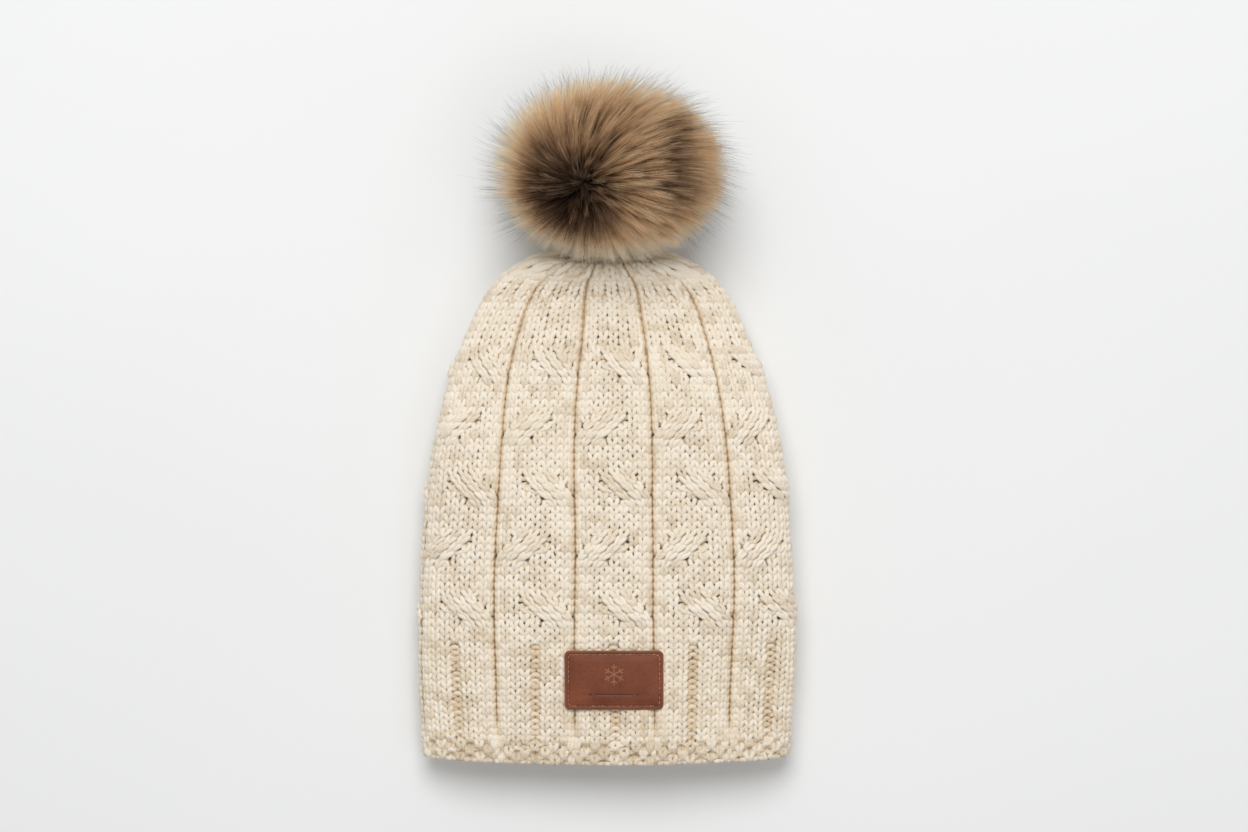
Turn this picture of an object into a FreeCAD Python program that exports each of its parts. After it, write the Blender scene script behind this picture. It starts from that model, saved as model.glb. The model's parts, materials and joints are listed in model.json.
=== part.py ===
"""Pom pom beanie lying flat on its back, front face up.

Millimetres. +Z is up, away from the surface that the hat lies on, +X runs across the hat and +Y runs
from the head opening to the pom. The origin is under the middle of the whole object, on that surface.
"""

import FreeCAD, Part
import math
import os

V = FreeCAD.Vector

# ---- driving dimensions ----
BODY_LENGTH = 284.0        # head opening to the gathered crown
BRIM_EDGE_WIDTH = 11.0     # linked edge round the head opening
KNIT_WALL = 6.0            # thickness of the cable knit
LINING_GAP = 1.0           # between knit and lining
LINING_WALL = 2.0          # fleece
LINING_START = 16.0        # the lining stops this far inside the head opening
SINK = 0.5                 # how much of the back is pressed flat on the surface
POM_RADIUS = 60.0          # across its axis, to the dense ends of the pile
POM_HALF_LENGTH = 50.0     # along its axis
CORE_RADIUS = 33.0         # inside of the fur's backing
CORE_HALF_LENGTH = 28.0
CORE_GAP = 0.3
POM_PRESS = 2.1            # how much of the pom is pressed flat on the surface
POM_REACH = 37.0           # neck of the pom to its middle
POM_CONE_DEG = 22.0        # slope of the pom's underside, away from the crown
NECK_HEIGHT = 12.0         # neck's middle above the crown's end wall
AXIS_TILT_DEG = 20.0       # the snap's axis leans up this much from +Y
PATCH_SIZE = (55.5, 33.5, 1.6)
PATCH_CORNER = 3.0
PATCH_X = 4.2              # the patch sits on the middle cable, a little off the middle of the hat
PATCH_FROM_OPENING = 28.0

# Cross-sections from the opening to the crown:
# distance from the opening, half width, half thickness, height of the middle, lean
STATIONS = [
    (0.0, 102.5, 20.0, None, 0.0),
    (60.0, 105.0, 22.5, None, 0.0),
    (130.0, 102.0, 25.0, None, 0.0),
    (175.0, 97.0, 26.0, None, 0.0),
    (208.0, 89.5, 26.0, None, 0.0),
    (230.0, 82.0, 25.5, None, 0.0),
    (252.0, 72.0, 24.0, 24.5, 2.0),
    (266.0, 62.0, 21.5, 27.5, 7.0),
    (276.0, 48.0, 18.5, 32.0, 14.0),
    (BODY_LENGTH, 25.0, 15.0, None, AXIS_TILT_DEG),
]
SIDE_POWER = 2.35          # 2 is an ellipse, more is squarer
BACK_POWER = 3.4
SECTION_POINTS = 32
LOFT_STEPS = 2             # sections between two stations
END_EASE = 4               # how late the inner walls turn in towards the crown
OVAL_STEPS = 24            # points on half an oval's outline

LEAN = math.radians(AXIS_TILT_DEG)
AXIS = V(0, math.cos(LEAN), math.sin(LEAN))
POM_HALF_Y = math.hypot(POM_HALF_LENGTH * math.cos(LEAN), POM_RADIUS * math.sin(LEAN))
POM_HALF_Z = math.hypot(POM_HALF_LENGTH * math.sin(LEAN), POM_RADIUS * math.cos(LEAN))
POM_MIDDLE_Z = POM_HALF_Z - POM_PRESS
POM_DISTANCE = NECK_HEIGHT + POM_REACH
OVERALL_LENGTH = BODY_LENGTH + POM_DISTANCE * math.cos(LEAN) + POM_HALF_Y
Y_OPENING = -OVERALL_LENGTH / 2
CROWN = V(0, Y_OPENING + BODY_LENGTH, POM_MIDDLE_Z - POM_DISTANCE * math.sin(LEAN))


def signed_power(value, power):
    return math.copysign(abs(value) ** power, value)


def stations():
    """STATIONS with every height filled in."""
    rows = []
    for along, half_width, half_thick, middle, lean in STATIONS:
        if middle is None:
            middle = CROWN.z if along == BODY_LENGTH else half_thick - SINK
        rows.append((along, half_width, half_thick, middle, lean))
    return rows


def station_at(distance):
    """Half width, half thickness, height of the middle and lean at a distance from the opening."""
    rows = stations()
    last = len(rows) - 1
    k = max(i for i in range(last) if rows[i][0] <= distance or i == 0)
    before, first, second, after = rows[max(k - 1, 0)], rows[k], rows[k + 1], rows[min(k + 2, last)]
    span = second[0] - first[0]
    share = (distance - first[0]) / span
    values = []
    for col in range(1, 5):
        slope_in = (second[col] - before[col]) / (second[0] - before[0]) * span
        slope_out = (after[col] - first[col]) / (after[0] - first[0]) * span
        values.append(
            first[col] * (1 + 2 * share) * (1 - share) ** 2 + second[col] * share ** 2 * (3 - 2 * share)
            + slope_in * share * (1 - share) ** 2 - slope_out * share ** 2 * (1 - share))
    return values


def section(distance, inset, shift=0.0):
    """One closed outline, inset from the knit's outside and moved by shift along the body."""
    half_width, half_thick, middle, lean = station_at(distance)
    turn = math.radians(lean)
    points = []
    for k in range(SECTION_POINTS):
        t = 2 * math.pi * k / SECTION_POINTS
        up = math.sin(t)
        across = (half_width - inset) * signed_power(math.cos(t), 2 / SIDE_POWER)
        rise = (half_thick - inset) * signed_power(up, 2 / (SIDE_POWER if up > 0 else BACK_POWER))
        y = Y_OPENING + distance + shift * math.cos(turn) - rise * math.sin(turn)
        z = middle + shift * math.sin(turn) + rise * math.cos(turn)
        points.append(V(across, y, z))
    curve = Part.BSplineCurve()
    curve.interpolate(Points=points, PeriodicFlag=True)
    return Part.Wire([curve.toShape()])


def body_loft(start, inset, end_inset=0.0):
    """Solid through the sections from start to the crown, shortened there by end_inset."""
    places = [start]
    for first, second in zip(STATIONS, STATIONS[1:]):
        for k in range(1, LOFT_STEPS + 1):
            place = first[0] + (second[0] - first[0]) * k / LOFT_STEPS
            if place > start + 1:
                places.append(place)
    wires = [section(d, inset, -end_inset * (d / BODY_LENGTH) ** END_EASE) for d in places]
    return Part.makeLoft(wires, True, True)


def straight_loft(start, end, inset):
    return Part.makeLoft([section(start, inset), section(end, inset)], True, True)


def band(start, end, outer_inset, inner_inset):
    """Closed ring that follows the hat's section between two distances from the opening."""
    return straight_loft(start, end, outer_inset).cut(straight_loft(start - 1, end + 1, inner_inset))


def above_ground(shape):
    """What is left of a shape above the surface that the object lies on."""
    size = 2 * OVERALL_LENGTH
    ground = Part.makeBox(size, size, size, V(-size / 2, -size / 2, -size))
    return shape.cut(ground)


def on_axis(shape):
    """Carries a shape made about local +Z to the snap's axis, local zero on the crown's end wall."""
    moved = shape.copy()
    moved.Placement = FreeCAD.Placement(CROWN, FreeCAD.Rotation(V(0, 0, 1), AXIS))
    return moved


def turned(profile):
    """Solid of revolution about the snap's axis from (radius, height) corners."""
    wire = Part.makePolygon([V(r, 0, h) for r, h in profile + profile[:1]])
    return Part.Face(wire).revolve(V(0, 0, 0), V(0, 0, 1), 360)


def oval(radius, half_length, height):
    """Ball squashed along local Z, with its middle at a height."""
    low = V(0, 0, height - half_length)
    high = V(0, 0, height + half_length)
    points = [low]
    for k in range(1, OVAL_STEPS):
        t = math.pi * k / OVAL_STEPS
        points.append(V(radius * math.sin(t), 0, height - half_length * math.cos(t)))
    points.append(high)
    curve = Part.BSplineCurve()
    curve.interpolate(Points=points, InitialTangent=V(1, 0, 0), FinalTangent=V(-1, 0, 0))
    half = Part.Face(Part.Wire([curve.toShape(), Part.makeLine(high, low)]))
    return half.revolve(V(0, 0, 0), V(0, 0, 1), 360)


def disc(radius, low, high, hole=0.0):
    solid = Part.makeCylinder(radius, high - low, V(0, 0, low))
    if hole:
        solid = solid.cut(Part.makeCylinder(hole, high - low, V(0, 0, low)))
    return solid


def save(name, shape):
    """Writes one node and prints its size and volume."""
    solids = shape.Solids
    body = solids[0] if len(solids) == 1 else Part.makeCompound(solids)
    body.exportStep("parts/" + name + ".step")
    box = body.BoundBox
    print("%-22s solids %3d volume %10.1f valid %s x %.1f..%.1f y %.1f..%.1f z %.1f..%.1f" % (
        name, len(solids), body.Volume, body.isValid(),
        box.XMin, box.XMax, box.YMin, box.YMax, box.ZMin, box.ZMax))


# ---- knitted hat ----
POST_RADIUS = 1.5
POST_HOLE = 2.2
EDGE_THICKER = 0.5         # the linked edge is this much thicker than the knit, on its inside


def knit_shell():
    outside = body_loft(BRIM_EDGE_WIDTH, 0.0)
    inside = body_loft(BRIM_EDGE_WIDTH, KNIT_WALL, KNIT_WALL)
    hole = on_axis(disc(POST_HOLE, -2 * KNIT_WALL, KNIT_WALL))
    return above_ground(outside.cut(inside).cut(hole))


def brim_edge():
    return above_ground(band(0.0, BRIM_EDGE_WIDTH, 0.0, KNIT_WALL + EDGE_THICKER))


LINING_END_GAP = 15.0      # crown's end wall to the end of the lining


def fleece_lining():
    outer_inset = KNIT_WALL + LINING_GAP
    outside = body_loft(LINING_START, outer_inset, LINING_END_GAP)
    inside = body_loft(LINING_START, outer_inset + LINING_WALL, LINING_END_GAP + LINING_WALL)
    return outside.cut(inside)


LINING_THREAD_WIDTH = 1.6
LINING_THREAD_THICK = 0.6
LINING_THREAD_FROM_EDGE = 3.0
LINING_THREAD_GAP = 0.1


def lining_hem_thread():
    inset = KNIT_WALL + LINING_GAP + LINING_WALL + LINING_THREAD_GAP
    start = LINING_START + LINING_THREAD_FROM_EDGE
    return band(start, start + LINING_THREAD_WIDTH, inset, inset + LINING_THREAD_THICK)


SEAM_SIZE = (3.0, 210.0, 0.6)
SEAM_GAP = 0.2             # above the inside of the knit's back


def back_seam_thread():
    width, length, thick = SEAM_SIZE
    corner = V(-width / 2, Y_OPENING + LINING_START, KNIT_WALL - SINK + SEAM_GAP)
    return Part.makeBox(width, length, thick, corner)


GATHER_RADIUS = 8.4
GATHER_YARN_RADIUS = 0.7
GATHER_HEIGHT = 0.9        # over the crown's end wall


def crown_gather_thread():
    return on_axis(Part.makeTorus(GATHER_RADIUS, GATHER_YARN_RADIUS, V(0, 0, GATHER_HEIGHT)))


# ---- leather patch ----
PATCH_LIFT = 0.3           # over the middle of the bowed front
STITCH_INSET = 2.2
STITCH_LENGTH = 2.6
STITCH_PITCH = 3.6
STITCH_RADIUS = 0.35
STITCH_GAP = 0.05


def front_height(distance):
    half_thick, middle = station_at(distance)[1:3]
    return middle + half_thick


def on_front(shape):
    """Lays a shape made about the origin on the front, where the patch goes."""
    run = PATCH_SIZE[1]
    low = front_height(PATCH_FROM_OPENING)
    high = front_height(PATCH_FROM_OPENING + run)
    place = V(PATCH_X, Y_OPENING + PATCH_FROM_OPENING + run / 2, (low + high) / 2 + PATCH_LIFT)
    slope = math.degrees(math.atan2(high - low, run))
    moved = shape.copy()
    moved.Placement = FreeCAD.Placement(place, FreeCAD.Rotation(V(1, 0, 0), slope))
    return moved


def leather_patch():
    width, height, thick = PATCH_SIZE
    plate = Part.makeBox(width, height, thick, V(-width / 2, -height / 2, 0))
    uprights = [e for e in plate.Edges if abs(e.tangentAt(e.FirstParameter).z) > 0.9]
    return on_front(plate.makeFillet(PATCH_CORNER, uprights))


def stitch_row(start, step, count):
    """Straight row of thread stitches lying on the patch."""
    direction = V(step).normalize()
    return [
        Part.makeCylinder(STITCH_RADIUS, STITCH_LENGTH, start + step * k, direction)
        for k in range(count)
    ]


def patch_stitching():
    width, height, thick = PATCH_SIZE
    top = thick + STITCH_RADIUS + STITCH_GAP
    rows = []
    for run, reach, along in ((width, height, V(1, 0, 0)), (height, width, V(0, 1, 0))):
        across = V(along.y, along.x, 0)
        count = int((run - 2 * (PATCH_CORNER + STITCH_INSET)) / STITCH_PITCH) + 1
        first = -((count - 1) * STITCH_PITCH + STITCH_LENGTH) / 2
        for side in (-1, 1):
            start = along * first + across * side * (reach / 2 - STITCH_INSET) + V(0, 0, top)
            rows += stitch_row(start, along * STITCH_PITCH, count)
    return on_front(Part.makeCompound(rows))


# ---- blank care label inside the opening ----
LABEL_SIZE = (24.0, 38.0, 0.5)
LABEL_X = -46.0
LABEL_LIFT = 1.4           # over the lining's back
LABEL_FROM_THREAD = 0.5


def care_label():
    width, length, thick = LABEL_SIZE
    height = KNIT_WALL + LINING_GAP + LINING_WALL - SINK + LABEL_LIFT
    thread_end = LINING_START + LINING_THREAD_FROM_EDGE + LINING_THREAD_WIDTH
    start = Y_OPENING + thread_end + LABEL_FROM_THREAD
    return Part.makeBox(width, length, thick, V(LABEL_X - width / 2, start, height))


# ---- snap fastener, heights along its axis from the crown's end wall ----
FELT_RADIUS = 8.0
FELT_LOW = -KNIT_WALL - 2.4
FELT_THICK = 2.0
CAP_RADIUS = 5.5
CAP_LOW = -KNIT_WALL - 3.6
CAP_THICK = 1.1
POST_TOP = 2.4
STUD_BORE = POST_RADIUS + 0.1
# Each outline is (radius, height) corners, turned about the snap's axis.
STUD_OUTLINE = [
    (STUD_BORE, 0.2), (CAP_RADIUS, 0.2), (CAP_RADIUS, 0.8), (1.95, 1.1), (1.95, 2.3),
    (2.2, 2.7), (2.2, 3.2), (1.8, 3.7), (0, 3.7), (0, 2.6), (STUD_BORE, 2.6),
]
SPRING_RADIUS = 2.62
SPRING_WIRE_RADIUS = 0.3
SPRING_HEIGHT = 2.0
SOCKET_RADIUS = 6.3
SOCKET_TOP = 5.0
SOCKET_MOUTH = 2.45
SPRING_GROOVE = (3.1, 1.55, 2.45)      # its radius, low side and high side
SOCKET_OUTLINE = [
    (SOCKET_MOUTH, 1.2), (5.6, 1.2), (SOCKET_RADIUS, 1.9), (SOCKET_RADIUS, SOCKET_TOP), (0, SOCKET_TOP),
    (0, 4.1), (SOCKET_MOUTH, 4.1), (SOCKET_MOUTH, SPRING_GROOVE[2]), (SPRING_GROOVE[0], SPRING_GROOVE[2]),
    (SPRING_GROOVE[0], SPRING_GROOVE[1]), (SOCKET_MOUTH, SPRING_GROOVE[1]),
]
BASE_FELT_RADIUS = 11.0
BASE_FELT_HOLE = 2.0
BASE_FELT_LOW = 5.1
BASE_FELT_HIGH = 6.7
RIVET_RADIUS = 1.7
RIVET_HEAD_LOW = 6.8
RIVET_HEAD_HIGH = 7.6
RIVET_EDGE = 0.8


def crown_felt_disc():
    return on_axis(disc(FELT_RADIUS, FELT_LOW, FELT_LOW + FELT_THICK, POST_HOLE))


def stud_cap():
    head_top = CAP_LOW + CAP_THICK
    head = disc(CAP_RADIUS, CAP_LOW, head_top)
    return on_axis(head.fuse(disc(POST_RADIUS, head_top, POST_TOP)))


def snap_stud():
    return on_axis(turned(STUD_OUTLINE))


def snap_spring():
    return on_axis(Part.makeTorus(SPRING_RADIUS, SPRING_WIRE_RADIUS, V(0, 0, SPRING_HEIGHT)))


def snap_socket():
    return on_axis(turned(SOCKET_OUTLINE))


def pom_base_felt():
    return on_axis(disc(BASE_FELT_RADIUS, BASE_FELT_LOW, BASE_FELT_HIGH, BASE_FELT_HOLE))


def socket_cap():
    head = turned([
        (0, RIVET_HEAD_LOW), (SOCKET_RADIUS, RIVET_HEAD_LOW),
        (SOCKET_RADIUS - RIVET_EDGE, RIVET_HEAD_HIGH), (0, RIVET_HEAD_HIGH),
    ])
    return on_axis(head.fuse(disc(RIVET_RADIUS, SOCKET_TOP, RIVET_HEAD_LOW)))


# ---- pom ----
KNOT_RADIUS = 4.0
KNOT_GAP = 0.4
CORD_RING_RADIUS = 7.0
CORD_RADIUS = 0.7
CORD_FROM_NECK = 1.9


def pom_neck_knot():
    return on_axis(Part.makeSphere(KNOT_RADIUS, V(0, 0, NECK_HEIGHT)))


def pom_fur():
    cone_height = 2 * POM_RADIUS
    cone_width = cone_height / math.tan(math.radians(POM_CONE_DEG))
    cone = Part.makeCone(0, cone_width, cone_height, V(0, 0, NECK_HEIGHT))
    hollow = oval(CORE_RADIUS, CORE_HALF_LENGTH, POM_DISTANCE)
    recess = Part.makeSphere(KNOT_RADIUS + KNOT_GAP, V(0, 0, NECK_HEIGHT))
    pile = oval(POM_RADIUS, POM_HALF_LENGTH, POM_DISTANCE).common(cone)
    return above_ground(on_axis(pile.cut(hollow).cut(recess)))


def pom_stuffing():
    return on_axis(oval(CORE_RADIUS - CORE_GAP, CORE_HALF_LENGTH - CORE_GAP, POM_DISTANCE))


def pom_drawcord():
    return on_axis(Part.makeTorus(CORD_RING_RADIUS, CORD_RADIUS, V(0, 0, NECK_HEIGHT + CORD_FROM_NECK)))


NODES = [
    knit_shell, brim_edge, fleece_lining, lining_hem_thread, back_seam_thread, crown_gather_thread,
    leather_patch, patch_stitching, care_label, crown_felt_disc, stud_cap, snap_stud, snap_spring,
    snap_socket, pom_base_felt, socket_cap, pom_neck_knot, pom_fur, pom_stuffing, pom_drawcord,
]

os.makedirs("parts", exist_ok=True)
for make in NODES:
    save(make.__name__, make())
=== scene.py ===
import json
import math

import bmesh
import bpy
import numpy as np
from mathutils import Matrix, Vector


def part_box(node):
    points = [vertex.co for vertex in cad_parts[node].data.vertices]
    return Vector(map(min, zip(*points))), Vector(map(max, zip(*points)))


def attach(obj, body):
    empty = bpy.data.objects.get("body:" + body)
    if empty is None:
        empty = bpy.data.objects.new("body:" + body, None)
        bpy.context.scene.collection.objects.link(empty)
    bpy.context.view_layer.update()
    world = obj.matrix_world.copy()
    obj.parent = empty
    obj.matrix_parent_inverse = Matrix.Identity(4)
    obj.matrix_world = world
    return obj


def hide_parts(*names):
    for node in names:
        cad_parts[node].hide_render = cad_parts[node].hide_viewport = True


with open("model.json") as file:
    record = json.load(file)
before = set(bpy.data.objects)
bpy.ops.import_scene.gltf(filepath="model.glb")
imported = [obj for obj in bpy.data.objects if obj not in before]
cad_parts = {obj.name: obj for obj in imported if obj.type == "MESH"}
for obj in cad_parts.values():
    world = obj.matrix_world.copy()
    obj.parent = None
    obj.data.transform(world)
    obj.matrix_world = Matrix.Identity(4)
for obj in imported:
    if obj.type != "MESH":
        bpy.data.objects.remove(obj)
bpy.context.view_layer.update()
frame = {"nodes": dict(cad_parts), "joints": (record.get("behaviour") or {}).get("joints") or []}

# The knit, the fur and the threads are swept tubes worked out in millimetres and stored in metres.
MM = 0.001
UP_THE_HAT = np.array([0.0, 1.0, 0.0])
TAU = 2 * math.pi
random = np.random.default_rng(20)


def corner_mm(node, which):
    return np.array(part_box(node)[which]) / MM


def joint_named(name):
    return next(j for j in frame["joints"] if j["name"] == name)


OPENING_Y = corner_mm("brim_edge", 0)[1]
EDGE_WIDTH = corner_mm("brim_edge", 1)[1] - OPENING_Y
CROWN = np.array(joint_named("pom_swivel")["pos_m"]) / MM
AXIS = np.array(joint_named("pom_swivel")["axis"])
NECK = np.array(joint_named("pom_lift")["pos_m"]) / MM
BODY_LENGTH = CROWN[1] - OPENING_Y
POM_MIDDLE = (corner_mm("pom_stuffing", 0) + corner_mm("pom_stuffing", 1)) / 2
POM_CORE = (corner_mm("pom_stuffing", 1) - corner_mm("pom_stuffing", 0))[0] / 2
POM_SQUASH = 0.84          # the core's length along the snap's axis, for its width
FUR_SQUASH = 0.78          # the same for the fur round it
PATCH_LOW = corner_mm("leather_patch", 0)
PATCH_HIGH = corner_mm("leather_patch", 1)
LEAN_DEG = math.degrees(math.atan2(AXIS[2], AXIS[1]))


# ---------------------------------------------------------------- meshes and materials

def unit(vectors):
    return vectors / np.maximum(np.linalg.norm(vectors, axis=-1, keepdims=True), 1e-9)


def smoothstep(x):
    x = np.clip(x, 0.0, 1.0)
    return x * x * (3 - 2 * x)


def add_mesh(name, verts, faces, material, smooth=True, **attributes):
    """Makes an object from arrays: verts in millimetres, faces as one array of quads or triangles."""
    verts = np.asarray(verts, float).reshape(-1, 3) * MM
    faces = np.asarray(faces, np.int32)
    mesh = bpy.data.meshes.new(name)
    corners = faces.shape[1]
    mesh.vertices.add(len(verts))
    mesh.vertices.foreach_set("co", verts.ravel())
    mesh.loops.add(faces.size)
    mesh.loops.foreach_set("vertex_index", faces.ravel())
    mesh.polygons.add(len(faces))
    mesh.polygons.foreach_set("loop_start", np.arange(0, faces.size, corners, dtype=np.int32))
    mesh.polygons.foreach_set("use_smooth", np.full(len(faces), smooth))
    mesh.update(calc_edges=True)
    for key, values in attributes.items():
        layer = mesh.attributes.new(key, "FLOAT", "POINT")
        layer.data.foreach_set("value", np.asarray(values, np.float32).ravel())
    mesh.materials.append(material)
    obj = bpy.data.objects.new(name, mesh)
    bpy.context.scene.collection.objects.link(obj)
    return obj


def tube_rings(path, radius, guide, sides, closed):
    """Rings of points round each path: path (n, points, 3), radius (n, points), guide is a side vector."""
    if closed:
        along = np.roll(path, -1, axis=1) - np.roll(path, 1, axis=1)
    else:
        along = np.gradient(path, axis=1)
    along = unit(along)
    side = unit(np.cross(along, guide))
    up = np.cross(side, along)
    angle = np.arange(sides) * TAU / sides
    ring = (np.cos(angle)[:, None] * up[:, :, None, :] + np.sin(angle)[:, None] * side[:, :, None, :])
    return path[:, :, None, :] + ring * radius[:, :, None, None]


def tube_faces(count, points, sides, closed):
    """Quads between the rings of count tubes with that many points and sides."""
    steps = points if closed else points - 1
    tube, i, j = np.meshgrid(np.arange(count), np.arange(steps), np.arange(sides), indexing="ij")
    here = tube * points * sides + i * sides
    there = tube * points * sides + ((i + 1) % points) * sides
    around = (j + 1) % sides
    quads = np.stack([here + j, there + j, there + around, here + around], axis=-1)
    return quads.reshape(-1, 4)


class Nodes:
    """A small helper for building one material."""

    def __init__(self, name, **shader):
        self.material = bpy.data.materials.new(name)
        self.material.use_nodes = True
        self.tree = self.material.node_tree
        self.shader = self.tree.nodes["Principled BSDF"]
        for key, value in shader.items():
            self.shader.inputs[key.replace("_", " ")].default_value = value

    def add(self, kind, inputs=None, **settings):
        node = self.tree.nodes.new(kind)
        for key, value in settings.items():
            setattr(node, key, value)
        for key, value in (inputs or {}).items():
            socket = node.inputs[key]
            if isinstance(value, bpy.types.NodeSocket):
                self.tree.links.new(value, socket)
            else:
                socket.default_value = value
        return node

    def attribute(self, name):
        return self.add("ShaderNodeAttribute", attribute_name=name).outputs["Fac"]

    def place(self):
        return self.add("ShaderNodeTexCoord").outputs["Object"]

    def noise(self, scale, detail=2.0, roughness=0.5, where=None):
        inputs = {"Vector": where or self.place(), "Scale": scale, "Detail": detail, "Roughness": roughness}
        return self.add("ShaderNodeTexNoise", inputs).outputs["Fac"]

    def ramp(self, factor, *stops):
        node = self.add("ShaderNodeValToRGB", {"Fac": factor})
        elements = node.color_ramp.elements
        while len(elements) < len(stops):
            elements.new(0.5)
        for element, (position, colour) in zip(elements, stops):
            element.position = position
            element.color = (*colour, 1)
        return node.outputs["Color"]

    def mix(self, factor, first, second, blend="MIX"):
        node = self.add("ShaderNodeMix", data_type="RGBA", blend_type=blend)
        for socket, value in ((node.inputs[0], factor), (node.inputs[6], first), (node.inputs[7], second)):
            if isinstance(value, bpy.types.NodeSocket):
                self.tree.links.new(value, socket)
            else:
                socket.default_value = value if isinstance(value, float) else (*value, 1)
        return node.outputs[2]

    def math(self, operation, first, second=0.0):
        node = self.add("ShaderNodeMath", operation=operation)
        for socket, value in zip(node.inputs, (first, second)):
            if isinstance(value, bpy.types.NodeSocket):
                self.tree.links.new(value, socket)
            else:
                socket.default_value = value
        return node.outputs[0]

    def link(self, output, name):
        self.tree.links.new(output, self.shader.inputs[name])

    def bump(self, height, strength, distance):
        node = self.add("ShaderNodeBump", {"Height": height, "Strength": strength, "Distance": distance})
        self.link(node.outputs["Normal"], "Normal")


def yarn_material(name, light, mid, dark):
    m = Nodes(name, Roughness=0.95, Specular_IOR_Level=0.15, Sheen_Weight=0.35, Sheen_Roughness=0.6)
    strands = m.noise(900.0, 3.0, 0.6)
    lumps = m.noise(60.0, 2.0, 0.5)
    tone = m.math("ADD", m.math("MULTIPLY", strands, 0.55), m.math("MULTIPLY", lumps, 0.14))
    tone = m.math("ADD", tone, m.math("MULTIPLY", m.attribute("tone"), 0.36))
    yarn = m.ramp(tone, (0.30, dark), (0.50, mid), (0.74, light))
    # painted shade: yarn that lies deep in the knit and along the gutters is painted darker and warmer
    depth = m.ramp(m.attribute("recess"), (0.12, (1.0, 1.0, 1.0)),
                   (0.48, (0.88, 0.80, 0.68)), (0.80, (0.66, 0.55, 0.42)), (1.0, (0.36, 0.27, 0.19)))
    m.link(m.mix(1.0, yarn, depth, "MULTIPLY"), "Base Color")
    m.bump(m.noise(1400.0, 3.0, 0.65), 0.35, 0.0004)
    return m.material


KNIT_YARN = yarn_material("knit_yarn", (0.95, 0.87, 0.745), (0.885, 0.785, 0.64), (0.72, 0.595, 0.435))


# ---------------------------------------------------------------- the hat's surface

# Distance from the opening, half width, half thickness, height of the middle (None: lying flat), lean.
SINK = 0.5
STATIONS = [
    (0.0, 102.5, 20.0, None, 0.0),
    (60.0, 105.0, 22.5, None, 0.0),
    (130.0, 102.0, 25.0, None, 0.0),
    (175.0, 97.0, 26.0, None, 0.0),
    (208.0, 89.5, 26.0, None, 0.0),
    (230.0, 82.0, 25.5, None, 0.0),
    (252.0, 72.0, 24.0, 24.5, 2.0),
    (266.0, 63.5, 22.0, 27.5, 7.0),
    (276.0, 53.0, 19.5, 32.0, 14.0),
    (BODY_LENGTH - 1, 37.0, 16.5, CROWN[2], LEAN_DEG),
    (BODY_LENGTH + 4, 23.0, 13.0, CROWN[2], LEAN_DEG),
    (BODY_LENGTH + 10, 10.5, 9.0, CROWN[2], LEAN_DEG),
    (BODY_LENGTH + 14, 6.0, 6.0, CROWN[2], LEAN_DEG),
]
FRONT_POWER = 2.35
BACK_POWER = 3.4
SIDE_SOFT = 2.0            # loose stitches at the folded sides stand out this much
YARN_INSET = 2.5           # middle of the knit's thickness below its outer surface
TURN_START = 255.0         # from here the crown starts to turn over to its end wall
TURN_LENGTH = 28.0
TURN_DROP = 2.64
WALL_DROP = 2.2            # roundness of the edge between the crown and its end wall


def station_rows():
    """The stations with the height of the middle worked out where the hat lies flat."""
    return [(d, a, b, b - SINK if middle is None else middle, lean) for d, a, b, middle, lean in STATIONS]


def smooth_columns(rows, at):
    """Every column of a table along smooth curves through its rows."""
    rows = np.array(rows, float)
    x = rows[:, 0]
    slopes = np.gradient(rows[:, 1:], x, axis=0)
    k = np.clip(np.searchsorted(x, at, side="right") - 1, 0, len(x) - 2)
    span = (x[k + 1] - x[k])[:, None]
    t = ((at - x[k])[:, None]) / span
    return (rows[k, 1:] * (1 + 2 * t) * (1 - t) ** 2 + rows[k + 1, 1:] * t ** 2 * (3 - 2 * t)
            + slopes[k] * span * t * (1 - t) ** 2 - slopes[k + 1] * span * t ** 2 * (1 - t))


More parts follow.
